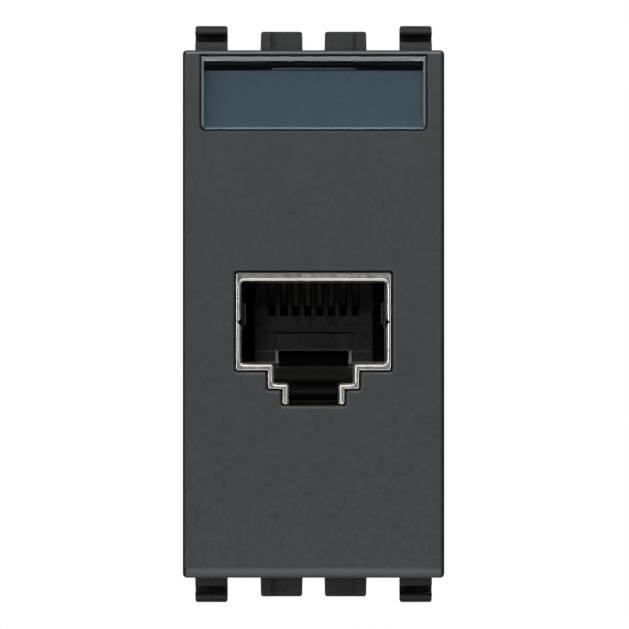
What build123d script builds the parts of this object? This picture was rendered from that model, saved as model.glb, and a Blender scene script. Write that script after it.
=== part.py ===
from build123d import *

import os

# Shielded data socket, one place of a modular wall frame wide, in millimetres.
# +X is right and +Z is up as seen from the front, and +Y goes into the wall.
# The origin is the middle of the face that seats on the supporting frame.

# Face
FACE_WIDTH = 22.2
FACE_HEIGHT = 44.8
FACE_RISE = 9.0
FACE_WALL = 1.6
SIDE_WALL = 1.2
EDGE_ROUND = 0.35
FOOT_ROUND = 0.9
CUT_BEVEL = 0.2

# Label pocket, window and card
POCKET_WIDTH = 19.4
POCKET_HEIGHT = 6.57
POCKET_HEAD = 0.33
POCKET_WALL = 0.9
POCKET_CORNER = 0.6
WINDOW_GAP = 0.2
WINDOW_HEAD_GAP = 0.17
WINDOW_THICK = 0.9
WINDOW_HEAD_BEVEL = 0.42
WINDOW_HEAD_SET = 0.2
WINDOW_BEVEL = 0.16
PEG_WIDTH = 1.0
PEG_LENGTH = 2.6
CARD_THICK = 0.3
CARD_INSET = 0.05
CARD_CORNER = 0.3
CARD_HEIGHT = 4.9
CARD_TAB_WIDTH = 7.0
CARD_TAB_HEIGHT = 0.15
CARD_CREASE_HEIGHT = 0.1
CARD_CREASE_DEPTH = 0.2
LEVER_SLOT_HEIGHT = 0.85
LEVER_SLOT_DEPTH = 3.0
LEVER_SLOT_INSET = 0.2
LEVER_SLOT_GAP = 0.03

# Stepped port of the metal rim: widths, and heights from the middle of the face
PORT_TOP = 2.8
PLUG_WIDTH = 12.3
PLUG_FLOOR = -4.2
LATCH_WIDTH = 6.8
LATCH_FLOOR = -5.9
LEVER_WIDTH = 4.24
LEVER_FLOOR = -7.64
PORT_CORNER = 0.28
PORT_GAP = 0.15

# Walls of the metal rim, which is open at its foot
RIM_TOP = 0.68
RIM_SIDE = 0.4
RIM_FLOOR = 0.55
LATCH_RIM_SIDE = 0.44
LATCH_RIM_FLOOR = 0.42
LEVER_RIM_SIDE = 0.48
RIM_SETBACK = 0.1
RIM_BEVEL = 0.2
RIM_FOOT_RELIEF = 0.3
RIM_CORNER = 0.1
NOTCH_HALF = 0.26
NOTCH_REACH = 0.33
NOTCH_Z = -0.72
NOTCH_DEPTH = 1.4

# Shell of the jack
SHELL_WIDTH = 15.2
SHELL_TOP = 6.2
SHELL_FOOT = -8.6
SHELL_WALL = 0.7
SHELL_CORNER = 0.6
STOP_RIB_RISE = 0.6
STOP_RIB_DEPTH = 1.0
STOP_RIB_WIDTH = 7.0
STOP_LUG_RISE = 1.0
STOP_LUG_DEPTH = 1.4
STOP_LUG_HEIGHT = 5.0
TONGUE_WIDTH = 5.0
TONGUE_LENGTH = 5.6
TONGUE_WAIST = 0.8
TONGUE_WAIST_DEPTH = 2.2

# Plug cavity of the housing
HOUSING_LENGTH = 12.75
CAVITY_INSET = 0.12
REAR_WALL = 2.7
COMB_WIDTH = 10.1
COMB_SLOT = 0.6
COMB_SLOT_DEPTH = 1.4
COMB_SLOT_FOOT = -0.17
SIDE_RECESS_DEPTH = 2.0
PANEL_WIDTH = 6.6
PANEL_TOP = -1.53
PANEL_FOOT = -3.06
PANEL_DEPTH = 0.5
PANEL_GROOVE = 0.13
PANEL_GROOVE_DEPTH = 1.2
BACK_WINDOW_TOP = -3.16
BACK_WINDOW_DEPTH = 2.4
CATCH_FOOT = -4.25
CATCH_WIDTH = 0.36
CATCH_TAPER = 0.1
CATCH_RISE = 0.24
STOP_LEDGE_DEPTH = 0.5
RAMP_LENGTH = 5.0
RAMP_TOP = -4.5
LEVER_FLOOR_WALL = 0.27
LEVER_LIP = -6.6
LEVER_LIP_THICK = 0.32
LEVER_LIP_SET = 0.6
LEVER_HOLLOW = 4.5
SHELF_THICK = 0.75
SHELF_LENGTH = 5.3
TROUGH_WALL = 0.5
NOSE_WALL = 0.8

# Contact wires
CONTACT_COUNT = 8
CONTACT_PITCH = 1.016
CONTACT_WIDTH = 0.45
CONTACT_THICK = 0.3
FOLD_RADIUS = 0.42
FOLD_GAP = 0.35
ARM_TIP_RISE = 0.4
ARM_TIP_INSET = 0.6
CONTACT_STAGGER = 1.2
CONTACT_BEND = 0.4
TAIL_LENGTH = 0.5
TAIL_HOLE_GAP = 0.1

# Side springs that touch the screen of the plug
SPRING_THICK = 0.2
SPRING_HEIGHT = 1.8
SPRING_CROWN = 0.2
SPRING_CROWN_BACK = 4.4
SPRING_ROOT_LENGTH = 1.6
SPRING_TIP_LENGTH = 1.6
SPRING_WINDOW_GAP = 0.25

# Board and wire terminals
BOARD_THICK = 1.6
BOARD_HOLE_SIDES = 8
TERMINAL_ROWS = 4
TERMINAL_EDGE = 1.55
TERMINAL_SPREAD = 9.8
BLADE_THICK = 0.5
BLADE_WIDTH = 2.2
BLADE_RISE = 3.6
BLADE_SLOT = 0.36
BLADE_SLOT_DEPTH = 2.4
BLADE_MOUTH = 0.5
PIN_WIDTH = 0.6
BASE_THICK = 1.4
TOWER_RISE = 4.7
CHANNEL_WIDTH = 6.0
GROOVE_WIDTH = 1.0
GROOVE_DEPTH = 3.0
GROOVE_MOUTH = 0.35
CAP_THICK = 1.2
CAP_HOLE = 6.8
CAP_GAP = 0.25
TOOTH_WIDTH = 0.8
TOOTH_LENGTH = 1.6
TOOTH_SPLIT = 0.9

# Rear door and its pin
DOOR_THICK = 0.8
DOOR_GAP = 0.1
DOOR_NOTCH = 6.8
CHEEK_THICK = 0.6
CHEEK_DEPTH = 3.0
CHEEK_HEIGHT = 10.0
CHEEK_GAP = 0.1
HINGE_PIN = 1.2
HINGE_WALL = 0.5
HINGE_RUN = 0.05
HINGE_SET = 0.02
HINGE_INSET = 0.9
EAR_WIDTH = 1.4
EAR_SPREAD = 11.4
KNUCKLE_GAP = 0.1
PIN_OVERHANG = 0.3

# Carrier
FLANGE_THICK = 2.2
FLANGE_INSET = 0.1
CARRIER_GAP = 0.1
TUNNEL_WALL = 1.2
TUNNEL_LENGTH = 8.0
ARM_WIDTH = 6.0
ARM_THICK = 1.0
ARM_ROOT = 3.0
HOOK_DEPTH = 0.8
COLLAR_WALL = 1.0
COLLAR_DEPTH = 3.0

# Snap claws and lugs for the wall frame, with their heights from the edge of the face
CLAW_INNER_X = 7.33
CLAW_OUTER_X = 10.08
CLAW_TIP_RISE = 2.18
CLAW_LIP_RISE = 1.83
CLAW_BASE_RISE = 0.73
CLAW_GROOVE = 0.64
CLAW_LIP_ROUND = 0.3
CLAW_BACK = 4.3
CLAW_BRIDGE = 1.0
RAIL_THICK = 1.3
TOOTH_BACK = 3.3
LUG_INNER_X = 0.97
LUG_OUTER_X = 4.48
LUG_RISE = 1.65
LUG_RIB = 0.83
LUG_RIB_RISE = 0.6
LUG_DRAFT = 0.04
CLAW_ROUND = 0.22

# Snap fingers that hold the cover on the carrier
FINGER_Z = 11.0
FINGER_WIDTH = 2.6
FINGER_THICK = 1.2
FINGER_RISE = 3.2
FINGER_HOOK = 0.6
FINGER_HOOK_DEPTH = 1.0

# Running gap between moulded or cast pieces that fit one in the other
FIT = 0.05

# Depths from the front to the back
FACE = -FACE_RISE
RIM_FRONT = FACE + RIM_SETBACK
SHELL_FRONT = FACE + FACE_WALL + CARRIER_GAP
HOUSING_FRONT = SHELL_FRONT + SHELL_WALL + FIT
HOUSING_BACK = HOUSING_FRONT + HOUSING_LENGTH
COMB_FACE = HOUSING_BACK - REAR_WALL
BOARD_FRONT = HOUSING_BACK + FIT
BOARD_BACK = BOARD_FRONT + BOARD_THICK
BLOCK_FRONT = BOARD_BACK + FIT
BLADE_FOOT = BLOCK_FRONT + BASE_THICK
TOWER_BACK = BLADE_FOOT + TOWER_RISE
CAP_FRONT = TOWER_BACK + FIT
SHELL_BACK = CAP_FRONT + CAP_THICK + CAP_GAP
WINDOW_BACK = FACE + WINDOW_THICK
POCKET_BACK = WINDOW_BACK + FIT + CARD_THICK
COVER_BACK = -FLANGE_THICK

# Widths and heights that follow
FACE_EDGE = FACE_HEIGHT / 2
POCKET_TOP = FACE_EDGE - POCKET_HEAD
POCKET_FLOOR = POCKET_TOP - POCKET_HEIGHT
WINDOW_FOOT = POCKET_FLOOR + WINDOW_GAP
WINDOW_HALF = POCKET_WIDTH / 2 - WINDOW_GAP
CARD_TOP = WINDOW_FOOT + CARD_INSET + CARD_HEIGHT
TAB_TOP = CARD_TOP + CARD_CREASE_HEIGHT + CARD_TAB_HEIGHT
CLAW_TIP = FACE_EDGE + CLAW_TIP_RISE
CLAW_LIP = FACE_EDGE + CLAW_LIP_RISE
CLAW_BASE = FACE_EDGE + CLAW_BASE_RISE
LUG_TIP = FACE_EDGE + LUG_RISE
SHELL_HALF = SHELL_WIDTH / 2
SHELL_MIDDLE = (SHELL_TOP + SHELL_FOOT) / 2
CORE_HALF = SHELL_HALF - SHELL_WALL - FIT
CORE_TOP = SHELL_TOP - SHELL_WALL - FIT
CORE_FOOT = SHELL_FOOT + SHELL_WALL + FIT
CAVITY_TOP = PORT_TOP - CAVITY_INSET
CAVITY_HALF = PLUG_WIDTH / 2 - CAVITY_INSET
CAVITY_FLOOR = PLUG_FLOOR + CAVITY_INSET
LATCH_HALF = LATCH_WIDTH / 2 - CAVITY_INSET
TERMINAL_PITCH = (CORE_TOP - CORE_FOOT - 2 * TERMINAL_EDGE) / (TERMINAL_ROWS - 1)
SHELF_TOP = CAVITY_TOP + SHELF_THICK
CONTACT_SPAN = (CONTACT_COUNT - 1) * CONTACT_PITCH
TROUGH_HALF = CONTACT_SPAN / 2 + CONTACT_WIDTH / 2 + TROUGH_WALL
LEG_Z = SHELF_TOP + FIT + CONTACT_THICK / 2
HINGE_RADIUS = HINGE_PIN / 2 + HINGE_RUN + HINGE_WALL
HINGE_Y = SHELL_BACK - HINGE_INSET
HINGE_Z = SHELL_TOP + HINGE_RADIUS + DOOR_GAP
DOOR_FRONT = SHELL_BACK + DOOR_GAP


def window(left, right, low, high, radius=0):
    """A rectangle between four edges, with rounded corners where a radius is given."""
    shape = Pos((left + right) / 2, (low + high) / 2) * Rectangle(right - left, high - low)
    return fillet(shape.vertices(), radius) if radius else shape


def slab(shape, front, back):
    """A shape seen from the front, given depth along Y."""
    return extrude(Plane.XZ.offset(-front) * shape, amount=-(back - front))


def profile(shape, left, right):
    """A side profile, drawn as depth and height, given width along X."""
    return extrude(Plane.YZ.offset(left) * shape, amount=right - left)


def block(left, right, front, back, low, high):
    return slab(window(left, right, low, high), front, back)


def box_around(width_half, front, back, low, high, radius=0):
    """A block that is centred on the middle plane of the socket."""
    return slab(window(-width_half, width_half, low, high, radius), front, back)


def both_sides(shape):
    return shape + mirror(shape, about=Plane.YZ)


def stepped(top, steps, radius):
    """The outline of the port: each step is a half width and the floor that it reaches."""
    outline = Sketch() + [window(-half, half, floor, top) for half, floor in steps]
    return fillet(outline.vertices(), radius)


def rim_inside():
    steps = [
        (PLUG_WIDTH / 2, PLUG_FLOOR),
        (LATCH_WIDTH / 2, LATCH_FLOOR),
        (LEVER_WIDTH / 2, LEVER_FLOOR - RIM_FOOT_RELIEF),
    ]
    return stepped(PORT_TOP, steps, PORT_CORNER)


def rim_outside(gap=0.0):
    """The outside of the metal rim, or the cut-out that clears it by a gap."""
    steps = [
        (PLUG_WIDTH / 2 + RIM_SIDE + gap, PLUG_FLOOR - RIM_FLOOR - gap),
        (LATCH_WIDTH / 2 + LATCH_RIM_SIDE + gap, LATCH_FLOOR - LATCH_RIM_FLOOR - gap),
        (LEVER_WIDTH / 2 + LEVER_RIM_SIDE + gap, LEVER_FLOOR - gap),
    ]
    return stepped(PORT_TOP + RIM_TOP + gap, steps, RIM_CORNER + gap)


def flared_mouth(outline, bevel, front):
    """The bevel round the edge of an opening, where the light catches it."""
    wide = Plane.XZ.offset(-front) * offset(outline, bevel)
    narrow = Plane.XZ.offset(-front - bevel) * outline
    return loft(Sketch() + [wide, narrow], ruled=True)


def contact_places():
    return [-CONTACT_SPAN / 2 + index * CONTACT_PITCH for index in range(CONTACT_COUNT)]


def contact_root(index):
    """Height of the soldered end: the odd and even wires enter the board in two rows."""
    return LEG_Z + (CONTACT_STAGGER if index % 2 else 0)


def terminal_places():
    """Side and height of each wire terminal, the left column first, from the top down."""
    heights = [
        SHELL_MIDDLE + TERMINAL_PITCH * ((TERMINAL_ROWS - 1) / 2 - row) for row in range(TERMINAL_ROWS)
    ]
    return [(side * TERMINAL_SPREAD / 2, z) for side in (-1, 1) for z in heights]


def rear_bore(x, z, radius, front, back):
    """A round hole or stem along Y."""
    return slab(Pos(x, z) * Circle(radius), front, back)


def cover_shell():
    half, height = FACE_WIDTH / 2, FACE_EDGE
    cover = box_around(half, FACE, COVER_BACK, -height, height)
    foot = cover.edges().filter_by(Axis.X).group_by(Axis.Y)[0].sort_by(Axis.Z)[0]
    cover = fillet(foot, FOOT_ROUND)
    back = cover.faces().sort_by(Axis.Y)[-1].edges()
    cover = fillet([edge for edge in cover.edges() if edge not in back and sharp_outline(edge)], EDGE_ROUND)
    return cover - box_around(
        half - SIDE_WALL, FACE + FACE_WALL, COVER_BACK, -height + SIDE_WALL, height - SIDE_WALL
    )


def sharp_outline(edge):
    """True for the edges of the two side faces and for the top edge of the face."""
    middle = edge.center()
    on_side = abs(abs(middle.X) - FACE_WIDTH / 2) < EDGE_ROUND / 10
    on_head = middle.Z > FACE_EDGE - EDGE_ROUND / 10 and middle.Y < FACE + EDGE_ROUND / 10
    return on_side or on_head


def label_pocket():
    half = POCKET_WIDTH / 2
    pocket = box_around(half, FACE, POCKET_BACK, POCKET_FLOOR, POCKET_TOP)
    return fillet(pocket.edges().filter_by(Axis.Y).group_by(Axis.Z)[0], POCKET_CORNER)


def lever_slot():
    """The slot above the card, where a blade lifts the window off and its pegs go in."""
    half, low = WINDOW_HALF - LEVER_SLOT_INSET, CARD_TOP + LEVER_SLOT_GAP
    high = low + LEVER_SLOT_HEIGHT
    return box_around(half, POCKET_BACK, POCKET_BACK + LEVER_SLOT_DEPTH, low, high)


def finger_windows(gap):
    """Room for the hooks of the four snap fingers, or the hooks themselves with no gap."""
    inner = FACE_WIDTH / 2 - SIDE_WALL - FIT
    front = COVER_BACK - FINGER_RISE
    hook = block(
        inner,
        inner + FINGER_HOOK + gap,
        front - gap,
        front + FINGER_HOOK_DEPTH + gap,
        FINGER_Z - FINGER_WIDTH / 2 - gap,
        FINGER_Z + FINGER_WIDTH / 2 + gap,
    )
    return both_sides(hook + mirror(hook, about=Plane.XY))


def front_cover():
    half = POCKET_WIDTH / 2 + POCKET_WALL
    cover = cover_shell()
    cover += box_around(
        half,
        FACE + FACE_WALL / 2,
        POCKET_BACK + POCKET_WALL,
        POCKET_FLOOR - POCKET_WALL,
        FACE_EDGE - SIDE_WALL / 2,
    )
    collar_half = SHELL_HALF + CARRIER_GAP
    collar_low, collar_high = SHELL_FOOT - CARRIER_GAP, SHELL_TOP + CARRIER_GAP
    collar_back = FACE + FACE_WALL + COLLAR_DEPTH
    cover += box_around(
        collar_half + COLLAR_WALL,
        FACE + FACE_WALL / 2,
        collar_back,
        collar_low - COLLAR_WALL,
        collar_high + COLLAR_WALL,
        SHELL_CORNER + COLLAR_WALL,
    ) - box_around(collar_half, FACE + FACE_WALL, collar_back, collar_low, collar_high, SHELL_CORNER)
    cover -= slab(rim_outside(PORT_GAP), FACE, FACE + FACE_WALL)
    cover -= flared_mouth(rim_outside(PORT_GAP), CUT_BEVEL, FACE)
    cover -= label_pocket()
    cover -= lever_slot()
    return cover - finger_windows(FIT)


def window_pegs():
    """Two pegs behind the pane, which hold it by friction in the ends of the slot."""
    right = WINDOW_HALF - LEVER_SLOT_INSET - FIT
    low = CARD_TOP + LEVER_SLOT_GAP + FIT
    high = low + LEVER_SLOT_HEIGHT - 2 * FIT
    return both_sides(block(right - PEG_WIDTH, right, WINDOW_BACK, WINDOW_BACK + PEG_LENGTH, low, high))


def label_window():
    head = POCKET_TOP - WINDOW_HEAD_GAP
    pane = box_around(WINDOW_HALF, FACE, WINDOW_BACK, WINDOW_FOOT, head)
    pane = fillet(pane.edges().filter_by(Axis.Y).group_by(Axis.Z)[0], POCKET_CORNER - WINDOW_GAP)
    corner = [(FACE, head), (FACE, head - WINDOW_HEAD_BEVEL), (FACE + WINDOW_HEAD_SET, head)]
    pane -= profile(make_face(Polyline(*corner, close=True)), -WINDOW_HALF, WINDOW_HALF)
    front = pane.faces().filter_by(Axis.Y).sort_by(Axis.Y)[0].edges().sort_by(Axis.Z)[:-1]
    return chamfer(front, WINDOW_BEVEL) + window_pegs()


def label_card():
    """The card, with a creased tab in the middle of its head."""
    half = WINDOW_HALF - CARD_INSET
    shape = window(-half, half, WINDOW_FOOT + CARD_INSET, CARD_TOP)
    shape = fillet(shape.vertices().group_by(Axis.Y)[0], CARD_CORNER)
    front = POCKET_BACK - CARD_THICK
    crease_top = CARD_TOP + CARD_CREASE_HEIGHT
    crease = box_around(CARD_TAB_WIDTH / 2, front + CARD_CREASE_DEPTH, POCKET_BACK, CARD_TOP, crease_top)
    return slab(shape, front, POCKET_BACK) + crease + box_around(
        CARD_TAB_WIDTH / 2, front, POCKET_BACK, crease_top, TAB_TOP
    )


def claw():
    """The outer claw at the top right: a sprung lip with a tooth that snaps behind the rail."""
    root = FACE_EDGE - FLANGE_INSET
    lip_low = CLAW_BASE + CLAW_GROOVE
    body = window(-FLANGE_THICK, CLAW_BACK, root, CLAW_LIP)
    tooth = make_face(
        Polyline(
            (RAIL_THICK, lip_low),
            (RAIL_THICK, CLAW_TIP),
            (RAIL_THICK + CLAW_BRIDGE, CLAW_TIP),
            (TOOTH_BACK, CLAW_LIP),
            (TOOTH_BACK, lip_low),
            close=True,
        )
    )
    groove = window(-FLANGE_THICK, CLAW_BACK - CLAW_BRIDGE, CLAW_BASE, lip_low)
    side = body + tooth - groove
    lip = side.vertices().group_by(Axis.X)[0].filter_by(lambda vertex: abs(vertex.Y - lip_low) < FIT)
    side = fillet(lip, CLAW_LIP_ROUND)
    part = profile(side, CLAW_INNER_X, CLAW_OUTER_X)
    tips = part.edges().filter_by(Axis.Y).filter_by(lambda edge: edge.center().Z > lip_low + CLAW_ROUND)
    return fillet(tips, CLAW_ROUND)


def lug():
    """The inner lug at the top right, with a rib on its outer side, that stops on the rail."""
    root = FACE_EDGE - FLANGE_INSET
    shape = make_face(
        Polyline(
            (LUG_INNER_X, LUG_TIP),
            (LUG_OUTER_X, LUG_TIP),
            (LUG_OUTER_X + LUG_DRAFT, root),
            (LUG_INNER_X - LUG_DRAFT, root),
            close=True,
        )
    )
    shape = fillet(shape.vertices().group_by(Axis.Y)[-1], CLAW_ROUND)
    rib = window(LUG_OUTER_X - LUG_RIB, LUG_OUTER_X, FACE_EDGE + FIT, LUG_TIP)
    rib = fillet(rib.vertices().group_by(Axis.Y)[-1].sort_by(Axis.X)[-1], CLAW_ROUND)
    return slab(shape, -FLANGE_THICK, 0) + slab(rib, -FLANGE_THICK - LUG_RIB_RISE, 0)


def latch_arm(face_z, side):
    """A sprung arm of the tunnel, whose hook holds the stop rib of the shell from behind."""
    inner = face_z + side * CARRIER_GAP
    under = face_z + side * (STOP_RIB_RISE + CARRIER_GAP)
    outer = under + side * ARM_THICK
    rib_back = TUNNEL_LENGTH + ARM_ROOT / 3 + STOP_RIB_DEPTH + FIT
    half = ARM_WIDTH / 2
    low, high = sorted((under, outer))
    arm = box_around(half, TUNNEL_LENGTH - ARM_ROOT, rib_back + HOOK_DEPTH, low, high)
    low, high = sorted((inner, outer))
    return arm + box_around(half, rib_back, rib_back + HOOK_DEPTH, low, high)


def snap_finger():
    """The finger at the upper right that holds the cover, with its hook."""
    outer = FACE_WIDTH / 2 - SIDE_WALL - FIT
    front = COVER_BACK - FINGER_RISE
    low, high = FINGER_Z - FINGER_WIDTH / 2, FINGER_Z + FINGER_WIDTH / 2
    return block(outer - FINGER_THICK, outer, front, -FLANGE_THICK / 2, low, high)


def carrier():
    half = FACE_WIDTH / 2 - FLANGE_INSET
    height = FACE_EDGE - FLANGE_INSET
    hole_half = SHELL_HALF + CARRIER_GAP
    low, high = SHELL_FOOT - CARRIER_GAP, SHELL_TOP + CARRIER_GAP
    part = box_around(half, -FLANGE_THICK, 0, -height, height, EDGE_ROUND)
    part += box_around(
        hole_half + TUNNEL_WALL,
        -FLANGE_THICK / 2,
        TUNNEL_LENGTH,
        low - TUNNEL_WALL,
        high + TUNNEL_WALL,
        SHELL_CORNER + TUNNEL_WALL,
    )
    part += latch_arm(SHELL_TOP, 1)
    part += latch_arm(SHELL_FOOT, -1)
    part -= box_around(hole_half, -FLANGE_THICK, TUNNEL_LENGTH, low, high, SHELL_CORNER)
    top_claws = both_sides(claw() + lug())
    part += top_claws
    part += mirror(top_claws, about=Plane.XY)
    finger = snap_finger()
    part += both_sides(finger + mirror(finger, about=Plane.XY))
    return part + finger_windows(0)


def hinge_lug(left, right, bore):
    """An eye of the hinge, along X, that stands on the back end of the shell."""
    ring = Pos(HINGE_Y, HINGE_Z) * Circle(HINGE_RADIUS)
    foot = window(HINGE_Y - HINGE_RADIUS, SHELL_BACK, SHELL_TOP - SHELL_WALL / 2, HINGE_Z)
    return profile(ring + foot - Pos(HINGE_Y, HINGE_Z) * Circle(bore), left, right)


def rim_notch():
    """The small cut across one side of the rim."""
    middle = PLUG_WIDTH / 2
    shape = make_face(
        Polyline(
            (middle - NOTCH_REACH, NOTCH_Z),
            (middle, NOTCH_Z + NOTCH_HALF),
            (middle + NOTCH_REACH, NOTCH_Z),
            (middle, NOTCH_Z - NOTCH_HALF),
            close=True,
        )
    )
    return slab(shape, RIM_FRONT, RIM_FRONT + NOTCH_DEPTH)


def tie_tongue():
    """The tongue under the cable, waisted for a tie."""
    half, back = TONGUE_WIDTH / 2, SHELL_BACK + TONGUE_LENGTH
    tongue = box_around(half, SHELL_BACK - SHELL_WALL, back, SHELL_FOOT, SHELL_FOOT + SHELL_WALL)
    middle = SHELL_BACK + TONGUE_LENGTH / 2
    waist = block(
        half - TONGUE_WAIST,
        half,
        middle - TONGUE_WAIST_DEPTH / 2,
        middle + TONGUE_WAIST_DEPTH / 2,
        SHELL_FOOT,
        SHELL_FOOT + SHELL_WALL,
    )
    return tongue - both_sides(waist)


def shield_shell():
    half = SHELL_HALF
    shell = box_around(half, SHELL_FRONT, SHELL_BACK, SHELL_FOOT, SHELL_TOP, SHELL_CORNER)
    inner = half - SHELL_WALL
    shell -= box_around(
        inner, SHELL_FRONT + SHELL_WALL, SHELL_BACK, SHELL_FOOT + SHELL_WALL, SHELL_TOP - SHELL_WALL
    )
    shell += slab(rim_outside(), RIM_FRONT, SHELL_FRONT + SHELL_WALL)
    shell -= slab(rim_inside(), RIM_FRONT, SHELL_FRONT + SHELL_WALL)
    shell -= flared_mouth(rim_inside(), RIM_BEVEL, RIM_FRONT)
    shell -= both_sides(rim_notch())
    rib_front = TUNNEL_LENGTH + ARM_ROOT / 3
    rib_half = STOP_RIB_WIDTH / 2
    for low, high in ((SHELL_TOP, SHELL_TOP + STOP_RIB_RISE), (SHELL_FOOT - STOP_RIB_RISE, SHELL_FOOT)):
        shell += box_around(rib_half, rib_front, rib_front + STOP_RIB_DEPTH, low, high)
    lug_front = TUNNEL_LENGTH + FIT
    middle = SHELL_MIDDLE
    shell += both_sides(
        block(
            half - SHELL_WALL / 2,
            half + STOP_LUG_RISE,
            lug_front,
            lug_front + STOP_LUG_DEPTH,
            middle - STOP_LUG_HEIGHT / 2,
            middle + STOP_LUG_HEIGHT / 2,
        )
    )
    ear_left = EAR_SPREAD / 2 - EAR_WIDTH / 2
    shell += both_sides(hinge_lug(ear_left, ear_left + EAR_WIDTH, HINGE_PIN / 2 + HINGE_SET))
    return shell + tie_tongue()


def comb_slots():
    """The slots that keep the tips of the wires apart."""
    slots = Part()
    for place in contact_places():
        slots += block(
            place - COMB_SLOT / 2,
            place + COMB_SLOT / 2,
            COMB_FACE,
            COMB_FACE + COMB_SLOT_DEPTH,
            COMB_SLOT_FOOT,
            CAVITY_TOP,
        )
    return slots


def back_panel():
    """The shallow panel under the comb, with a narrow groove at its head."""
    half, back = PANEL_WIDTH / 2, COMB_FACE + PANEL_GROOVE_DEPTH
    panel = box_around(half, COMB_FACE, COMB_FACE + PANEL_DEPTH, PANEL_FOOT, PANEL_TOP)
    return panel + box_around(half, COMB_FACE, back, PANEL_TOP - PANEL_GROOVE, PANEL_TOP)


def back_window():
    """The deep opening under the comb."""
    half = PANEL_WIDTH / 2 - CATCH_WIDTH
    return box_around(half, COMB_FACE, COMB_FACE + BACK_WINDOW_DEPTH, RAMP_TOP, BACK_WINDOW_TOP)


def latch_guide():
    """The small wedge at the right of the opening, which grows wider and thicker downwards."""
    right, left = PANEL_WIDTH / 2, PANEL_WIDTH / 2 - CATCH_WIDTH
    shape = make_face(
        Polyline(
            (right, CATCH_FOOT),
            (right - CATCH_TAPER / 2, BACK_WINDOW_TOP),
            (left + CATCH_TAPER, BACK_WINDOW_TOP),
            (left, CATCH_FOOT),
            close=True,
        )
    )
    side = make_face(
        Polyline(
            (COMB_FACE + CATCH_RISE, CATCH_FOOT),
            (COMB_FACE + CATCH_RISE, BACK_WINDOW_TOP),
            (COMB_FACE, BACK_WINDOW_TOP),
            (COMB_FACE - CATCH_RISE, CATCH_FOOT),
            close=True,
        )
    )
    return slab(shape, COMB_FACE - CATCH_RISE, COMB_FACE + CATCH_RISE) & profile(side, left, right)


def latch_channel():
    """The channel under the plug, whose end rises as a ramp to the back window."""
    floor = LATCH_FLOOR + CAVITY_INSET
    side = make_face(
        Polyline(
            (HOUSING_FRONT, CAVITY_FLOOR + CAVITY_INSET),
            (HOUSING_FRONT, floor),
            (COMB_FACE - RAMP_LENGTH, floor),
            (COMB_FACE, RAMP_TOP),
            (COMB_FACE, CAVITY_FLOOR + CAVITY_INSET),
            close=True,
        )
    )
    return profile(side, -LATCH_HALF, LATCH_HALF)


def lever_channel():
    """The slope below the latch channel, whose thin lip stands over a hollow."""
    half = LEVER_WIDTH / 2 - CAVITY_INSET
    low, high = LEVER_FLOOR + LEVER_FLOOR_WALL, LATCH_FLOOR + 2 * CAVITY_INSET
    lip_front, slope_end = HOUSING_FRONT + LEVER_LIP_SET, COMB_FACE - RAMP_LENGTH
    slope = make_face(
        Polyline(
            (lip_front, high),
            (lip_front, LEVER_LIP),
            (slope_end, LATCH_FLOOR + CAVITY_INSET),
            (slope_end, high),
            close=True,
        )
    )
    hollow = box_around(half, lip_front, lip_front + LEVER_HOLLOW, low, LEVER_LIP - LEVER_LIP_THICK)
    return box_around(half, HOUSING_FRONT, lip_front, low, high) + profile(slope, -half, half) + hollow


def wire_trough():
    """The open trough over the cavity in which the wires run, and the gap in front of the shelf."""
    front, shelf_front = HOUSING_FRONT + NOSE_WALL, COMB_FACE - SHELF_LENGTH
    trough = box_around(TROUGH_HALF, front, HOUSING_BACK, SHELF_TOP, CORE_TOP)
    return trough + box_around(TROUGH_HALF, front, shelf_front, CAVITY_TOP - CAVITY_INSET, SHELF_TOP)


def spring_bay():
    """Room in the housing's right wall for a side spring, open to the cavity and to the shell."""
    low, high = -SPRING_HEIGHT / 2 - SPRING_WINDOW_GAP, SPRING_HEIGHT / 2 + SPRING_WINDOW_GAP
    front = spring_crown_y() - SPRING_TIP_LENGTH - SPRING_WINDOW_GAP
    bay = block(CAVITY_HALF - CAVITY_INSET, CORE_HALF, front, HOUSING_BACK, low, high)
    root_front = HOUSING_BACK - SPRING_ROOT_LENGTH - SPRING_WINDOW_GAP
    root_inner = spring_root_x() - SPRING_THICK / 2 - SPRING_WINDOW_GAP
    return bay + block(root_inner, CORE_HALF, root_front, HOUSING_BACK, low, high)


def jack_housing():
    housing = box_around(CORE_HALF, HOUSING_FRONT, HOUSING_BACK, CORE_FOOT, CORE_TOP)
    housing -= box_around(CAVITY_HALF, HOUSING_FRONT, COMB_FACE, CAVITY_FLOOR, CAVITY_TOP)
    housing -= both_sides(
        block(COMB_WIDTH / 2, CAVITY_HALF, COMB_FACE, COMB_FACE + SIDE_RECESS_DEPTH, CAVITY_FLOOR, CAVITY_TOP)
    )
    housing -= comb_slots()
    housing -= back_panel()
    housing += both_sides(
        block(
            PANEL_WIDTH / 2,
            COMB_WIDTH / 2,
            COMB_FACE - STOP_LEDGE_DEPTH,
            COMB_FACE + STOP_LEDGE_DEPTH,
            CAVITY_FLOOR,
            BACK_WINDOW_TOP,
        )
    )
    housing -= back_window()
    housing -= latch_channel()
    housing -= lever_channel()
    housing -= wire_trough()
    housing -= both_sides(spring_bay())
    return housing + both_sides(latch_guide())


def bent_strip(path, across, width, thickness):
    """A strip of even section along a path: across is the direction of its width."""
    start = Plane(origin=path @ 0, x_dir=across, z_dir=path % 0)
    return sweep(start * Rectangle(width, thickness), path=path)


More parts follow.
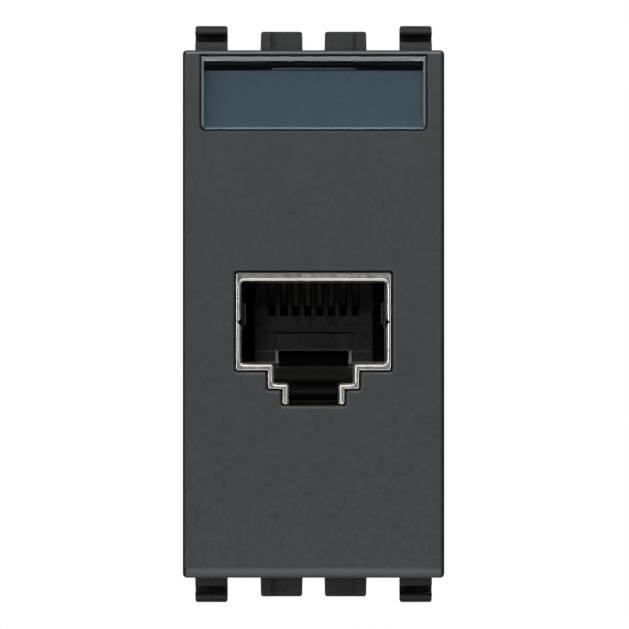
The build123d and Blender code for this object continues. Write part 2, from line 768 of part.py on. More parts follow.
def contact(index):
    """One wire: soldered tail, leg along the trough, fold at the front and sprung arm into the comb."""
    root_z = contact_root(index)
    bend_y = HOUSING_BACK - CONTACT_BEND
    fold_y = HOUSING_FRONT + NOSE_WALL + FOLD_GAP + CONTACT_THICK / 2
    tip_y = COMB_FACE + COMB_SLOT_DEPTH - ARM_TIP_INSET
    step = [(bend_y, root_z), (bend_y - CONTACT_STAGGER, LEG_Z)] if root_z > LEG_Z else []
    points = [(BOARD_BACK + TAIL_LENGTH, root_z)] + step
    points += [(fold_y, LEG_Z), (fold_y, LEG_Z - 2 * FOLD_RADIUS), (tip_y, COMB_SLOT_FOOT + ARM_TIP_RISE)]
    radii = [CONTACT_BEND] * len(step) + [FOLD_RADIUS] * 2
    path = Plane.YZ.offset(contact_places()[index]) * FilletPolyline(*points, radius=radii)
    return bent_strip(path, (1, 0, 0), CONTACT_WIDTH, CONTACT_THICK)


def spring_crown_y():
    return HOUSING_FRONT + SPRING_CROWN_BACK


def spring_root_x():
    return CORE_HALF - SPRING_THICK / 2 - FIT


def ground_spring():
    """The right side spring: its root stands at the wall of the shell, its crown in the cavity."""
    root_x = spring_root_x()
    crown_x = CAVITY_HALF - SPRING_CROWN
    back = HOUSING_BACK
    crown_y = spring_crown_y()
    tip = (crown_x + SPRING_CROWN / 4, crown_y - SPRING_TIP_LENGTH)
    points = [(root_x, back), (root_x, back - SPRING_ROOT_LENGTH), (crown_x, crown_y), tip]
    path = FilletPolyline(*points, radius=[SPRING_ROOT_LENGTH / 2, SPRING_TIP_LENGTH / 2])
    return bent_strip(path, (0, 0, 1), SPRING_HEIGHT, SPRING_THICK)


def board_hole(x, z, width, thickness, gap):
    """A hole that clears a wire or pin of rectangular section, with few sides as there are many."""
    radius = (width**2 + thickness**2) ** 0.5 / 2 + gap
    hole = Pos(x, z) * RegularPolygon(radius, BOARD_HOLE_SIDES, major_radius=False)
    return slab(hole, BOARD_FRONT, BOARD_BACK)


def circuit_board():
    board = box_around(CORE_HALF, BOARD_FRONT, BOARD_BACK, CORE_FOOT, CORE_TOP)
    for index, place in enumerate(contact_places()):
        board -= board_hole(place, contact_root(index), CONTACT_WIDTH, CONTACT_THICK, TAIL_HOLE_GAP)
    for x, z in terminal_places():
        board -= board_hole(x, z, BLADE_THICK, PIN_WIDTH, FIT)
    return board


def groove_cut(z):
    """A wire groove across both towers, with a widened mouth."""
    back, half = TOWER_BACK, GROOVE_WIDTH / 2
    wide = half + GROOVE_MOUTH
    side = make_face(
        Polyline(
            (back - GROOVE_DEPTH, z - half),
            (back - GROOVE_DEPTH, z + half),
            (back - 2 * GROOVE_MOUTH, z + half),
            (back, z + wide),
            (back, z - wide),
            (back - 2 * GROOVE_MOUTH, z - half),
            close=True,
        )
    )
    return profile(side, -CORE_HALF, CORE_HALF)


def idc_block():
    block_part = box_around(CORE_HALF, BLOCK_FRONT, TOWER_BACK, CORE_FOOT, CORE_TOP)
    block_part -= box_around(CHANNEL_WIDTH / 2, BLADE_FOOT, TOWER_BACK, CORE_FOOT, CORE_TOP)
    tail_reach = TAIL_LENGTH + 2 * TAIL_HOLE_GAP
    block_part -= box_around(
        TROUGH_HALF,
        BLOCK_FRONT,
        BLOCK_FRONT + tail_reach,
        LEG_Z - CONTACT_THICK - TAIL_HOLE_GAP,
        LEG_Z + CONTACT_STAGGER + CONTACT_THICK + TAIL_HOLE_GAP,
    )
    slot_half, slot_side = BLADE_WIDTH / 2 + FIT, BLADE_THICK / 2 + FIT
    pin_half = PIN_WIDTH / 2 + FIT
    for x, z in terminal_places():
        left, right = x - slot_side, x + slot_side
        block_part -= block(left, right, BLADE_FOOT, TOWER_BACK, z - slot_half, z + slot_half)
        block_part -= block(left, right, BLOCK_FRONT, BLADE_FOOT, z - pin_half, z + pin_half)
    for z in {z for _, z in terminal_places()}:
        block_part -= groove_cut(z)
    return block_part


def terminal(x, z):
    """A forked blade, with a pin through the base and the board."""
    half, slot = BLADE_WIDTH / 2, BLADE_SLOT / 2
    tip = BLADE_FOOT + BLADE_RISE
    shape = window(BLADE_FOOT, tip, z - half, z + half)
    shape += window(BOARD_FRONT, BLADE_FOOT, z - PIN_WIDTH / 2, z + PIN_WIDTH / 2)
    shape -= make_face(
        Polyline(
            (tip - BLADE_SLOT_DEPTH, z - slot),
            (tip - BLADE_SLOT_DEPTH, z + slot),
            (tip - BLADE_MOUTH, z + slot),
            (tip, z + slot + BLADE_MOUTH),
            (tip, z - slot - BLADE_MOUTH),
            (tip - BLADE_MOUTH, z - slot),
            close=True,
        )
    )
    return profile(shape, x - BLADE_THICK / 2, x + BLADE_THICK / 2)


def wire_cap():
    back = CAP_FRONT + CAP_THICK
    cap = box_around(CORE_HALF, CAP_FRONT, back, CORE_FOOT, CORE_TOP, SHELL_CORNER)
    cap -= rear_bore(0, SHELL_MIDDLE, CAP_HOLE / 2, CAP_FRONT, back)
    tooth_half = TOOTH_WIDTH / 2
    for x, z in terminal_places():
        side = x / abs(x)
        inner, outer = sorted((side * (CHANNEL_WIDTH / 2 + FIT), side * CORE_HALF))
        bar = block(inner, outer, CAP_FRONT - TOOTH_LENGTH, CAP_FRONT, z - tooth_half, z + tooth_half)
        gap = block(
            x - TOOTH_SPLIT / 2,
            x + TOOTH_SPLIT / 2,
            CAP_FRONT - TOOTH_LENGTH,
            CAP_FRONT,
            z - tooth_half,
            z + tooth_half,
        )
        cap += bar - gap
    return cap - rear_bore(0, SHELL_MIDDLE, CAP_HOLE / 2, CAP_FRONT - TOOTH_LENGTH, back)


def rear_door():
    half, back = SHELL_HALF, DOOR_FRONT + DOOR_THICK
    reach = half + CHEEK_GAP + CHEEK_THICK
    plate = box_around(reach, DOOR_FRONT, back, SHELL_FOOT, SHELL_TOP, SHELL_CORNER)
    notch = window(-DOOR_NOTCH / 2, DOOR_NOTCH / 2, SHELL_FOOT, SHELL_MIDDLE)
    notch += Pos(0, SHELL_MIDDLE) * Circle(DOOR_NOTCH / 2)
    plate -= slab(notch, DOOR_FRONT, back)
    cheek = block(
        half + CHEEK_GAP,
        reach,
        DOOR_FRONT - CHEEK_DEPTH,
        back - DOOR_THICK / 2,
        SHELL_MIDDLE - CHEEK_HEIGHT / 2,
        SHELL_MIDDLE + CHEEK_HEIGHT / 2,
    )
    ear_inner = EAR_SPREAD / 2 - EAR_WIDTH / 2
    right = ear_inner - KNUCKLE_GAP
    eye = Pos(HINGE_Y, HINGE_Z) * Circle(HINGE_RADIUS)
    arm = window(HINGE_Y, back, HINGE_Z - HINGE_RADIUS, HINGE_Z)
    arm += window(DOOR_FRONT, back, SHELL_TOP - DOOR_THICK, HINGE_Z)
    bore = Pos(HINGE_Y, HINGE_Z) * Circle(HINGE_PIN / 2 + HINGE_RUN)
    knuckle = profile(eye + arm - bore, right - EAR_WIDTH, right)
    return plate + both_sides(cheek + knuckle)


def hinge_pin():
    half = EAR_SPREAD / 2 + EAR_WIDTH / 2 + PIN_OVERHANG
    return profile(Pos(HINGE_Y, HINGE_Z) * Circle(HINGE_PIN / 2), -half, half)


def write(name, part):
    export_step(part, f"parts/{name}.step")


def main():
    os.makedirs("parts", exist_ok=True)
    spring = ground_spring()
    pieces = {
        "front_cover": front_cover(),
        "label_window": label_window(),
        "label_card": label_card(),
        "carrier": carrier(),
        "shield_shell": shield_shell(),
        "jack_housing": jack_housing(),
        "ground_spring_right": spring,
        "ground_spring_left": mirror(spring, about=Plane.YZ),
        "circuit_board": circuit_board(),
        "idc_block": idc_block(),
        "wire_cap": wire_cap(),
        "rear_door": rear_door(),
        "hinge_pin": hinge_pin(),
    }
    pieces |= {f"contact_{index + 1}": contact(index) for index in range(CONTACT_COUNT)}
    pieces |= {f"idc_{index + 1}": terminal(x, z) for index, (x, z) in enumerate(terminal_places())}
    for name, piece in pieces.items():
        write(name, piece)


main()
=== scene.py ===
import math

import bpy
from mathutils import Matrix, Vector


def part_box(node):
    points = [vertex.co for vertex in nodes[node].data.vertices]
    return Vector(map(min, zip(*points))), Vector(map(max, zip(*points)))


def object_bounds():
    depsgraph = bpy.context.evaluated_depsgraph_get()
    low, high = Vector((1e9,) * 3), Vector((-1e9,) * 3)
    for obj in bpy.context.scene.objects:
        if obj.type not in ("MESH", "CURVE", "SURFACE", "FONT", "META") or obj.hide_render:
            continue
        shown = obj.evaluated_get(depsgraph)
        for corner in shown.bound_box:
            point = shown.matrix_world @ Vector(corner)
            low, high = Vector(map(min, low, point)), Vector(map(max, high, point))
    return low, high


# The frame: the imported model, in metres, with +Z up and the face towards -Y
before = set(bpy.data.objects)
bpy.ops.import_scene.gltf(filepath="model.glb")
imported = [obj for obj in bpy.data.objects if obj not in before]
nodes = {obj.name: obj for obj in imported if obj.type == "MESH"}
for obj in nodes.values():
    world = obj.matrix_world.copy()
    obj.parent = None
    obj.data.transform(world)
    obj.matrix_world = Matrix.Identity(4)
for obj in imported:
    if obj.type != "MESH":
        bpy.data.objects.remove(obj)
cad_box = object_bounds()
MM = 0.001
WIRES = 8

# Camera: square on to the face, far enough away for a flat view
FACE_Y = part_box("front_cover")[0].y
CAMERA_DISTANCE = 2.0
VIEW_WIDTH = 53.4 * MM
CAMERA_SHIFT_X = 0.08 * MM
CAMERA_SHIFT_Z = -0.04 * MM
SENSOR_WIDTH = 36.0

# Colours, as linear light
BLACK = (0.0, 0.0, 0.0)
WHITE = (1.0, 1.0, 1.0)
ANTHRACITE = (0.0216, 0.0262, 0.0288)
ANTHRACITE_DEEP = (0.0215, 0.0225, 0.0230)
HOUSING_BLACK = (0.006, 0.0062, 0.0056)
# Painted light: the grey painted on the latch ramp, for the light it catches
RAMP_PAINTED_LIGHT = (0.16, 0.16, 0.14)
NICKEL = (0.68, 0.66, 0.62)
GOLD = (0.83, 0.58, 0.24)
# Painted shade: the ground springs' steel, darkened far below real steel for the shade they sit in
SPRING_STEEL_IN_PAINTED_SHADE = (0.05, 0.048, 0.046)
TIN = (0.66, 0.65, 0.63)
SOLDER_GREEN = (0.015, 0.085, 0.04)
BLOCK_GREY = (0.035, 0.036, 0.038)
CAP_WHITE = (0.62, 0.61, 0.57)
CARD_BLUE = (0.0262, 0.0352, 0.0395)
SMOKE = (0.72, 0.82, 0.88)
# Painted highlight on the side bevels of the pane
PANE_EDGE_HIGHLIGHT = (0.16, 0.19, 0.21)
PIN_STEEL = (0.56, 0.55, 0.53)

# Noise: how fine it is, and the values between which most of it lies
NOISE_DETAIL = 3.0
NOISE_LOW = 0.3
NOISE_HIGH = 0.7

# Rays that look for a near edge or a near surface, and the shine of plain plastic as Blender counts it
NEAR_RAYS = 6
PLAIN_SHINE = 0.5

# Moulded plastic: its grain, its blotches, the waves under it, its duller spots and the radius of its edges
GRAIN = 0.16 * MM
GRAIN_DEPTH = 0.010 * MM
MOULDED_BLOTCH = 3.0 * MM
MOULDED_CONTRAST = 0.05
MOULDED_WAVE = 2.5 * MM
MOULDED_SPOT = 0.6 * MM
MOULDED_DULLER = 0.05
MOULDED_EDGE = 0.07 * MM

# Plated metal: its blotches, its duller spots, its haze, the waves under it and the radius of its edges
PLATED_BLOTCH = 1.5 * MM
PLATED_CONTRAST = 0.03
PLATED_SPOT = 0.5 * MM
PLATED_DULLER = 0.04
PLATED_HAZE = 0.4 * MM
PLATED_HAZE_DEPTH = 0.0005 * MM
PLATED_WAVE = 3.0 * MM
PLATED_WAVE_DEPTH = 0.004 * MM
PLATED_EDGE = 0.05 * MM

# A name below that ends in KEEP is the share of its colour that a place of painted shade keeps

# The face: its grain, the painted shade where its sides round off, and how far and how strongly painted shade
# darkens its gaps
COVER_ROUGH = 0.36
COVER_GRAIN_DEPTH = 0.006 * MM
COVER_SIDE_SHADE = 0.35 * MM
COVER_SIDE_SHADE_KEEP = 0.2
COVER_SHADE_REACH = 0.25 * MM
COVER_SHADE_STRENGTH = 3.0

# The carrier: its coarse speckle, its dull surface, and how far and how strongly painted shade darkens its
# gaps
CARRIER_ROUGH = 0.5
CARRIER_GRAIN_DEPTH = 0.03 * MM
CARRIER_SPECKLE = 0.15 * MM
CARRIER_CONTRAST = 0.3
CARRIER_SHINE = 0.25
CARRIER_SHADE_REACH = 0.5 * MM
CARRIER_SHADE_STRENGTH = 1.2

# The pane: the painted highlight, a pale matt colour on the bevel at each side, the width over which it
# begins, and the clear plastic between
PANE_BEVEL = 0.16 * MM
PANE_BEVEL_BLUR = 0.02 * MM
PANE_IOR = 1.49
PANE_BLOTCH = 6.0 * MM
PANE_CONTRAST = 0.01
PANE_ROUGH = 0.02
PANE_SPOT = 2.0 * MM

# The card: its fibre, which lies across, and a line of painted shade at the fold under its tab, by height
CARD_BLOTCH = 1.2 * MM
CARD_CONTRAST = 0.04
CARD_ROUGH = (0.6, 0.75)
CARD_SPOT = 0.3 * MM
CARD_FIBRE = 0.1 * MM
CARD_FIBRE_STRETCH = (1.0, 1.0, 3.0)
CARD_FIBRE_DEPTH = 0.006 * MM
CARD_FOLD = 20.7 * MM
CARD_FOLD_SHADE_LINE = 0.07 * MM
CARD_FOLD_KEEP = 0.1

# The board: its lacquer, and the weave under it
BOARD_BLOTCH = 1.0 * MM
BOARD_CONTRAST = 0.10
BOARD_ROUGH = (0.25, 0.4)
BOARD_SPOT = 0.5 * MM
BOARD_WEAVE = 1.6 * MM
BOARD_WEAVE_DEPTH = 0.004 * MM

# Radius of the edges of the card and of the board
THIN_EDGE = 0.03 * MM

# The housing: painted shade in its recesses, between these distances from its back
HOUSING_ROUGH = 0.22
HOUSING_GRAIN_DEPTH = 0.001 * MM
RECESS_DIM = 2.1 * MM
RECESS_DARK = 1.4 * MM
RECESS_KEEP = 0.15

# Painted light on the latch ramp: it is painted paler below its top, between these heights, and more so
# towards its back, between these depths
RAMP_TOP = -4.4 * MM
RAMP_FULL = -4.5 * MM
RAMP_FRONT = -1.5 * MM
RAMP_BACK = 3.5 * MM

# Painted shade in the latch channel under the ramp, between these heights
CHANNEL_DIM = -5.4 * MM
CHANNEL_DARK = -5.8 * MM
CHANNEL_KEEP = 0.2

# Painted shade on the left end of the comb, between these places along X
SHADE_START = -3.5 * MM
SHADE_END = -5.3 * MM
SHADE_KEEP = 0.3

# The shell: its rounder edges, painted shade in its mouth by depth, and a thin line of painted shade on top
# of its rim by height
NICKEL_ROUGH = 0.22
NICKEL_EDGE = 0.085 * MM
MOUTH_DEPTH = -7.5 * MM
MOUTH_HALF = 1.15 * MM
MOUTH_KEEP = 0.06
RIM_TOP = 3.5 * MM
RIM_TOP_SHADE_LINE = 0.13 * MM
RIM_TOP_KEEP = 0.22

# Painted shade that draws the notch in each side of the rim, larger than the model cuts it: its middle and
# half height, its slope, and how far out it begins
NOTCH_HEIGHT = -0.69 * MM
NOTCH_HALF = 0.36 * MM
NOTCH_SLOPE = 0.95
NOTCH_KEEP = 0.03
RIM_INSIDE = 6.16 * MM

# Share of the half width of a band of painted shade, and of a painted notch, that is as dark as it gets
BAND_CORE = 0.8
NOTCH_CORE = 0.85

# Painted shade along the arms of the contacts, between these depths
GOLD_ROUGH = 0.15
ARM_DIM = -4.5 * MM
ARM_DARK = -1.5 * MM
ARM_KEEP = 0.05

# Roughness of the pieces with nothing more than their plain finish
SPRING_ROUGH = 0.28
PIN_ROUGH = 0.25
TIN_ROUGH = 0.35
BLOCK_ROUGH = 0.45
CAP_ROUGH = 0.4

# The floor: how far it is under the part, its half width, its tone, and how much paler the camera sees it
FLOOR_GAP = 14 * MM
FLOOR_HALF = 0.8
FLOOR_PALE = 0.42
FLOOR_BLOTCH = 0.3
FLOOR_CONTRAST = 0.005
FLOOR_ROUGH = 0.9
FLOOR_LIFT = 0.5

# The painted reflection on the floor, a glow which only reflections show: its strength in its middle, its
# reach, how far its middle lies in front of the face, and how far behind the face it ends
GLOW_STRENGTH = 2.4
GLOW_REACH = 0.055
GLOW_AHEAD = 0.03
GLOW_BEHIND = 0.01

# Strength of the light from all round the room
ROOM_LIGHT = 0.03


def shade(colour, factor=1.0):
    """A colour as nodes take it, made darker or lighter by a factor."""
    return tuple(channel * factor for channel in colour) + (1.0,)


class Shader:
    """A node material under construction, with short calls for the nodes that all finishes share."""

    def __init__(self, name):
        self.material = bpy.data.materials.new(name)
        self.material.use_nodes = True
        self.tree = self.material.node_tree
        self.surface = self.tree.nodes["Principled BSDF"]
        self.place = self.node("ShaderNodeTexCoord").outputs["Object"]

    def node(self, kind, inputs=None, **settings):
        """A new node, whose inputs are given values or the outputs of other nodes."""
        made = self.tree.nodes.new(kind)
        for key, value in settings.items():
            setattr(made, key, value)
        for key, value in (inputs or {}).items():
            if isinstance(value, bpy.types.NodeSocket):
                self.link(value, made.inputs[key])
            else:
                made.inputs[key].default_value = value
        return made

    def link(self, output, target):
        self.tree.links.new(output, target)

    def set(self, **values):
        """Fixed values of the surface, named as in Blender with _ for a space."""
        for name, value in values.items():
            self.surface.inputs[name.replace("_", " ")].default_value = value

    def calc(self, operation, *values, clamp=False):
        """One step of arithmetic, on numbers and on the outputs of other nodes."""
        step = self.node("ShaderNodeMath", dict(enumerate(values)), operation=operation, use_clamp=clamp)
        return step.outputs["Value"]

    def ranged(self, value, start, end, low, high):
        """A value that goes from low to high as another goes from start to end, and no further."""
        limits = {"From Min": start, "From Max": end, "To Min": low, "To Max": high}
        return self.node("ShaderNodeMapRange", {"Value": value, **limits}).outputs["Result"]

    def fade(self, value, start, end, low=0.0):
        """1 up to the start, falling to a low value at the end."""
        return self.ranged(value, start, end, 1.0, low)

    def along(self, axis):
        """The place along an axis of the piece: X to the right, Y into the wall, Z up."""
        return self.node("ShaderNodeSeparateXYZ", {"Vector": self.place}).outputs[axis]

    def off(self, axis, middle):
        """The distance along an axis from a middle, to either side."""
        return self.calc("ABSOLUTE", self.calc("SUBTRACT", self.along(axis), middle))

    def sideways(self):
        """The distance to the left or right of the middle of the part."""
        return self.off("X", 0.0)

    def noise(self, size, stretch=None):
        """Noise whose features are about as large as size, in metres."""
        place = self.place
        if stretch:
            place = self.node("ShaderNodeMapping", {"Vector": place, "Scale": stretch}).outputs["Vector"]
        looks = {"Vector": place, "Scale": 1.0 / size, "Detail": NOISE_DETAIL}
        return self.node("ShaderNodeTexNoise", looks).outputs["Fac"]

    def spread(self, size, low, high):
        """Noise of a size, taken to the range from low to high."""
        return self.ranged(self.noise(size), NOISE_LOW, NOISE_HIGH, low, high)

    def roughness(self, low, high, size):
        """Roughness that goes from low to high from place to place."""
        self.link(self.spread(size, low, high), self.surface.inputs["Roughness"])

    def base(self):
        """The base colour so far."""
        return self.surface.inputs["Base Color"].links[0].from_socket

    def recolour(self, factor, first, second):
        """A base colour that goes from the first to the second as the factor goes from 0 to 1."""
        mix = self.node("ShaderNodeMix", {"Factor": factor, "A": first, "B": second}, data_type="RGBA")
        self.link(mix.outputs["Result"], self.surface.inputs["Base Color"])

    def mottle(self, colour, size, amount):
        """The base colour, a little darker and lighter from place to place."""
        self.recolour(self.spread(size, 0.0, 1.0), shade(colour, 1 - amount), shade(colour, 1 + amount))

    def paint(self, colour, factor):
        """Another base colour, as far as the factor says."""
        self.recolour(factor, self.base(), shade(colour))

    def darken(self, factor):
        """Multiplies the base colour by a factor between 0 and 1."""
        self.recolour(factor, shade(BLACK), self.base())

    def dim(self, factor):
        """Takes colour and shine away by a factor between 0 and 1."""
        shine = self.calc("MULTIPLY", factor, PLAIN_SHINE)
        self.link(shine, self.surface.inputs["Specular IOR Level"])
        self.darken(factor)

    def dim_round(self, axis, middle, half, keep):
        """Painted shade in a band round one place along an axis, where little light comes in."""
        self.darken(self.fade(self.off(axis, middle), half, half * BAND_CORE, keep))

    def notch(self, height, half, inside, slope):
        """Painted shade inside a pointed notch at each side, which narrows away from the middle."""
        past = self.calc("SUBTRACT", self.sideways(), inside, clamp=True)
        reach = self.calc("MULTIPLY_ADD", past, slope, self.off("Z", height))
        self.darken(self.fade(reach, half, half * NOTCH_CORE, NOTCH_KEEP))

    def crevice_shade(self, reach, strength):
        """Painted shade: darker where other surfaces stand close, as in gaps and corners."""
        near = self.node("ShaderNodeAmbientOcclusion", {"Distance": reach}, samples=NEAR_RAYS)
        self.darken(self.calc("POWER", near.outputs["AO"], strength))

    def relief(self, heights, edge):
        """Bumps, each a height and its depth in metres, over edges that are softened by a small radius."""
        normal = self.node("ShaderNodeBevel", {"Radius": edge}, samples=NEAR_RAYS).outputs["Normal"]
        for height, depth in heights:
            bump = {"Distance": depth, "Height": height, "Normal": normal}
            normal = self.node("ShaderNodeBump", bump).outputs["Normal"]
        self.link(normal, self.surface.inputs["Normal"])

    def mixed(self, factor, first, second):
        """One shader where the factor is 0, and another where it is 1."""
        return self.node("ShaderNodeMixShader", {"Fac": factor, 1: first, 2: second}).outputs["Shader"]

    def show(self, output):
        """What the material shows, in place of its surface alone."""
        self.link(output, self.tree.nodes["Material Output"].inputs["Surface"])


def moulded(name, colour, rough, depth=GRAIN_DEPTH, blotch=MOULDED_BLOTCH, contrast=MOULDED_CONTRAST):
    """Moulded plastic with a fine spark-eroded grain."""
    shader = Shader(name)
    shader.mottle(colour, blotch, contrast)
    shader.roughness(rough - MOULDED_DULLER, rough + MOULDED_DULLER, MOULDED_SPOT)
    shader.relief([(shader.noise(GRAIN), depth), (shader.noise(MOULDED_WAVE), depth / 2)], MOULDED_EDGE)
    return shader


def plated(name, colour, rough, edge=PLATED_EDGE):
    """Plated metal, a little uneven."""
    shader = Shader(name)
    shader.set(Metallic=1.0)
    shader.mottle(colour, PLATED_BLOTCH, PLATED_CONTRAST)
    shader.roughness(rough - PLATED_DULLER, rough + PLATED_DULLER, PLATED_SPOT)
    haze = (shader.noise(PLATED_HAZE), PLATED_HAZE_DEPTH)
    waves = (shader.noise(PLATED_WAVE), PLATED_WAVE_DEPTH)
    shader.relief([haze, waves], edge)
    return shader


def anthracite_face():
    """The grained face, with painted shade in its gaps and where its sides round off."""
    shader = moulded("cover_grain", ANTHRACITE, COVER_ROUGH, depth=COVER_GRAIN_DEPTH)
    # Painted shade in the gaps round the face
    shader.crevice_shade(COVER_SHADE_REACH, COVER_SHADE_STRENGTH)
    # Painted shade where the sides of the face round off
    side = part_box("front_cover")[1].x
    shader.dim(shader.fade(shader.sideways(), side - COVER_SIDE_SHADE, side - COVER_SIDE_SHADE / 2, COVER_SIDE_SHADE_KEEP))
    return shader


def speckled_carrier():
    """Dull moulded plastic with a coarse speckle, and painted shade in its gaps."""
    shader = moulded(
        "carrier_grain",
        ANTHRACITE_DEEP,
        CARRIER_ROUGH,
        depth=CARRIER_GRAIN_DEPTH,
        blotch=CARRIER_SPECKLE,
        contrast=CARRIER_CONTRAST,
    )
    # Painted shade in the carrier's gaps
    shader.crevice_shade(CARRIER_SHADE_REACH, CARRIER_SHADE_STRENGTH)
    shader.set(Specular_IOR_Level=CARRIER_SHINE)
    return shader


def smoked_clear():
    """Clear plastic with a blue-grey smoke tint, through which lamps still light the card, and a painted
    highlight on its side bevels.
    """
    shader = Shader("smoked_clear")
    shader.set(Transmission_Weight=1.0, IOR=PANE_IOR)
    shader.mottle(SMOKE, PANE_BLOTCH, PANE_CONTRAST)
    shader.roughness(0.0, PANE_ROUGH, PANE_SPOT)
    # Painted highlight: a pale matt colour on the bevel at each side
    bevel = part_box("label_window")[1].x - PANE_BEVEL
    at_bevel = shader.fade(shader.sideways(), bevel, bevel - PANE_BEVEL_BLUR)
    pale = shader.node("ShaderNodeBsdfDiffuse", {"Color": shade(PANE_EDGE_HIGHLIGHT)}).outputs["BSDF"]
    pane = shader.mixed(at_bevel, shader.surface.outputs["BSDF"], pale)
    clear = shader.node("ShaderNodeBsdfTransparent", {"Color": shade(SMOKE)}).outputs["BSDF"]
    to_a_lamp = shader.node("ShaderNodeLightPath").outputs["Is Shadow Ray"]
    shader.show(shader.mixed(to_a_lamp, pane, clear))
    return shader


def label_paper():
    """Matt card with a faint fibre and painted shade at its fold."""
    shader = Shader("label_paper")
    shader.mottle(CARD_BLUE, CARD_BLOTCH, CARD_CONTRAST)
    shader.roughness(*CARD_ROUGH, CARD_SPOT)
    # Painted shade at the fold under the tab
    shader.dim_round("Z", CARD_FOLD, CARD_FOLD_SHADE_LINE, CARD_FOLD_KEEP)
    shader.relief([(shader.noise(CARD_FIBRE, stretch=CARD_FIBRE_STRETCH), CARD_FIBRE_DEPTH)], THIN_EDGE)
    return shader


def solder_resist():
    """Green lacquer over the weave of the board."""
    shader = Shader("solder_resist")
    shader.mottle(SOLDER_GREEN, BOARD_BLOTCH, BOARD_CONTRAST)
    shader.roughness(*BOARD_ROUGH, BOARD_SPOT)
    weave = {"Vector": shader.place, "Scale": 1.0 / BOARD_WEAVE}
    wave = shader.node("ShaderNodeTexWave", weave, bands_direction="Z")
    shader.relief([(wave.outputs["Fac"], BOARD_WEAVE_DEPTH)], THIN_EDGE)
    return shader


def housing_black():
    """Glossy black plastic, with painted light on the latch ramp and painted shade in the recesses, in the
    channel and at the left end of the comb.
    """
    shader = moulded("housing_black", HOUSING_BLACK, HOUSING_ROUGH, depth=HOUSING_GRAIN_DEPTH)
    # Painted light on the latch ramp
    above_ramp = shader.fade(shader.along("Z"), RAMP_TOP, RAMP_FULL)
    towards_back = shader.fade(shader.along("Y"), RAMP_BACK, RAMP_FRONT)
    shader.paint(RAMP_PAINTED_LIGHT, shader.calc("SUBTRACT", towards_back, above_ramp, clamp=True))
    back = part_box("jack_housing")[1].y
    # Painted shade in the recesses near the back
    recess = shader.fade(shader.along("Y"), back - RECESS_DIM, back - RECESS_DARK, RECESS_KEEP)
    # Painted shade in the latch channel
    channel = shader.fade(shader.along("Z"), CHANNEL_DIM, CHANNEL_DARK, CHANNEL_KEEP)
    # Painted shade on the left end of the comb
    left_end_shade = shader.fade(shader.along("X"), SHADE_START, SHADE_END, SHADE_KEEP)
    shader.dim(shader.calc("MULTIPLY", shader.calc("MULTIPLY", recess, channel), left_end_shade))
    return shader


def nickel_shell():
    """Plated shell with painted shade in its mouth, in a thin line at the top of the rim, and in notches in
    its sides.
    """
    shader = plated("nickel", NICKEL, NICKEL_ROUGH, edge=NICKEL_EDGE)
    # Painted shade in the mouth of the shell
    shader.dim_round("Y", MOUTH_DEPTH, MOUTH_HALF, MOUTH_KEEP)
    # Painted shade in a thin line along the top of the rim
    shader.dim_round("Z", RIM_TOP, RIM_TOP_SHADE_LINE, RIM_TOP_KEEP)
    # Painted shade that draws the notches in the sides of the rim larger
    shader.notch(NOTCH_HEIGHT, NOTCH_HALF, RIM_INSIDE, NOTCH_SLOPE)
    return shader


def contact_gold():
    """Gold with painted shade along the arms, deep in the opening."""
    shader = plated("gold", GOLD, GOLD_ROUGH)
    # Painted shade along the arms of the contacts
    shader.dim(shader.fade(shader.along("Y"), ARM_DIM, ARM_DARK, ARM_KEEP))
    return shader


def numbered(stem):
    """The names of the pieces of which there is one for each wire."""
    return [f"{stem}_{number}" for number in range(1, WIRES + 1)]


def finish(shader, *names):
    """Gives a finish to CAD nodes."""
    for name in names:
        materials = nodes[name].data.materials
        materials.clear()
        materials.append(shader.material)


def finishes():
    finish(anthracite_face(), "front_cover")
    finish(speckled_carrier(), "carrier")
    finish(smoked_clear(), "label_window")
    finish(label_paper(), "label_card")
    finish(nickel_shell(), "shield_shell", "rear_door")
    finish(housing_black(), "jack_housing")
    # The ground springs get steel darkened as painted shade
    finish(plated("spring_strip_painted_shade", SPRING_STEEL_IN_PAINTED_SHADE, SPRING_ROUGH), "ground_spring_left", "ground_spring_right")
    finish(plated("pin_steel", PIN_STEEL, PIN_ROUGH), "hinge_pin")
    finish(contact_gold(), *numbered("contact"))
    finish(plated("tin", TIN, TIN_ROUGH), *numbered("idc"))
    finish(solder_resist(), "circuit_board")
    finish(moulded("block_grain", BLOCK_GREY, BLOCK_ROUGH), "idc_block")
    finish(moulded("cap_white", CAP_WHITE, CAP_ROUGH), "wire_cap")


def floor_material():
    """Pale floor that takes shadows, shows nearly white, and glows as a painted reflection in front of the
    face.
    """
    shader = Shader("floor_pale")
    shader.mottle((FLOOR_PALE, FLOOR_PALE, FLOOR_PALE), FLOOR_BLOTCH, FLOOR_CONTRAST)
    shader.set(Roughness=FLOOR_ROUGH)
    path = shader.node("ShaderNodeLightPath")
    lift = shader.calc("MULTIPLY", path.outputs["Is Camera Ray"], FLOOR_LIFT)
    # Painted reflection: a glow that only glossy rays see, near the face
    away = shader.node("ShaderNodeVectorMath", {0: shader.place}, operation="LENGTH").outputs["Value"]
    near = shader.ranged(away, 0.0, GLOW_REACH, GLOW_STRENGTH, 0.0)
    in_front = shader.fade(shader.along("Y"), GLOW_AHEAD, GLOW_AHEAD + GLOW_BEHIND)
    sheen = shader.calc("MULTIPLY", near, in_front)
    strength = shader.calc("MULTIPLY_ADD", path.outputs["Is Glossy Ray"], sheen, lift)
    glow = shader.node("ShaderNodeEmission", {"Strength": strength}).outputs["Emission"]
    both = shader.node("ShaderNodeAddShader", {0: shader.surface.outputs["BSDF"], 1: glow})
    shader.show(both.outputs["Shader"])
    return shader.material


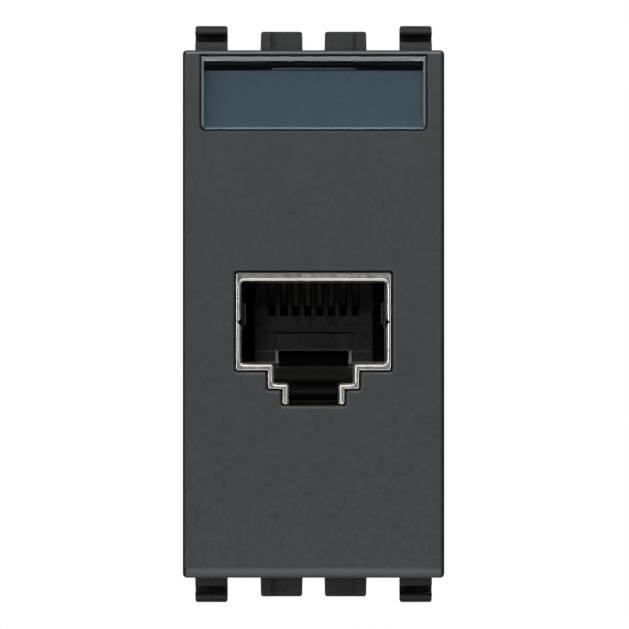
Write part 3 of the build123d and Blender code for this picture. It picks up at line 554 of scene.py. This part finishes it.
def stage():
    """A floor under the part, whose origin is the middle of its glow."""
    half = FLOOR_HALF
    mesh = bpy.data.meshes.new("floor")
    corners = [(-half, -half, 0), (half, -half, 0), (half, half, 0), (-half, half, 0)]
    mesh.from_pydata(corners, [], [(0, 1, 2, 3)])
    mesh.materials.append(floor_material())
    floor = bpy.data.objects.new("floor", mesh)
    floor.location = (0, FACE_Y - GLOW_AHEAD, cad_box[0][2] - FLOOR_GAP)
    bpy.context.scene.collection.objects.link(floor)


def studio():
    """The room: plain white to the camera, and dim all round for light and reflections."""
    world = bpy.data.worlds.new("studio")
    bpy.context.scene.world = world
    world.use_nodes = True
    tree = world.node_tree
    background = tree.nodes["Background"]
    background.inputs["Color"].default_value = shade(WHITE)
    path = tree.nodes.new("ShaderNodeLightPath")
    strength = tree.nodes.new("ShaderNodeMapRange")
    strength.inputs["To Min"].default_value = ROOM_LIGHT
    tree.links.new(path.outputs["Is Camera Ray"], strength.inputs["Value"])
    tree.links.new(strength.outputs["Result"], background.inputs["Strength"])


def softbox(name, place, size, power, sheen_only=False):
    """An area lamp aimed at the middle of the face, in metres and watts. With sheen_only it only reflects."""
    lamp = bpy.data.lights.new(name, "AREA")
    lamp.shape = "RECTANGLE"
    lamp.size, lamp.size_y = size
    lamp.energy = power
    holder = bpy.data.objects.new(name, lamp)
    holder.location = place
    holder.visible_camera = False
    holder.visible_diffuse = not sheen_only
    aim = Vector((0, FACE_Y, 0)) - Vector(place)
    holder.rotation_euler = aim.to_track_quat("-Z", "Y").to_euler()
    bpy.context.scene.collection.objects.link(holder)


def lights():
    softbox("top", place=(0.0, -0.13, 0.19), size=(0.34, 0.165), power=0.9)
    softbox("front", place=(0.0, -1.14, 0.39), size=(0.42, 0.42), power=2.2)
    softbox("left", place=(-0.82, -0.91, 0.15), size=(0.22, 0.6), power=1.7)
    softbox("right", place=(0.82, -0.91, 0.15), size=(0.22, 0.6), power=0.8)
    softbox("back", place=(0.45, 0.9, 0.3), size=(0.5, 0.5), power=3.0)
    softbox("left edge", place=(-0.9, -0.63, 0.08), size=(0.7, 0.5), power=10.0, sheen_only=True)
    softbox("right edge", place=(0.9, -0.63, 0.08), size=(0.7, 0.5), power=4.0, sheen_only=True)


def camera():
    """A long lens, level and square on to the face."""
    lens = bpy.data.cameras.new("camera")
    lens.sensor_width = SENSOR_WIDTH
    lens.lens = SENSOR_WIDTH * CAMERA_DISTANCE / VIEW_WIDTH
    holder = bpy.data.objects.new("camera", lens)
    holder.location = (CAMERA_SHIFT_X, FACE_Y - CAMERA_DISTANCE, CAMERA_SHIFT_Z)
    holder.rotation_euler = (math.pi / 2, 0, 0)
    bpy.context.scene.collection.objects.link(holder)
    bpy.context.scene.camera = holder


finishes()
stage()
studio()
lights()
camera()
bpy.context.scene.view_settings.view_transform = "Standard"
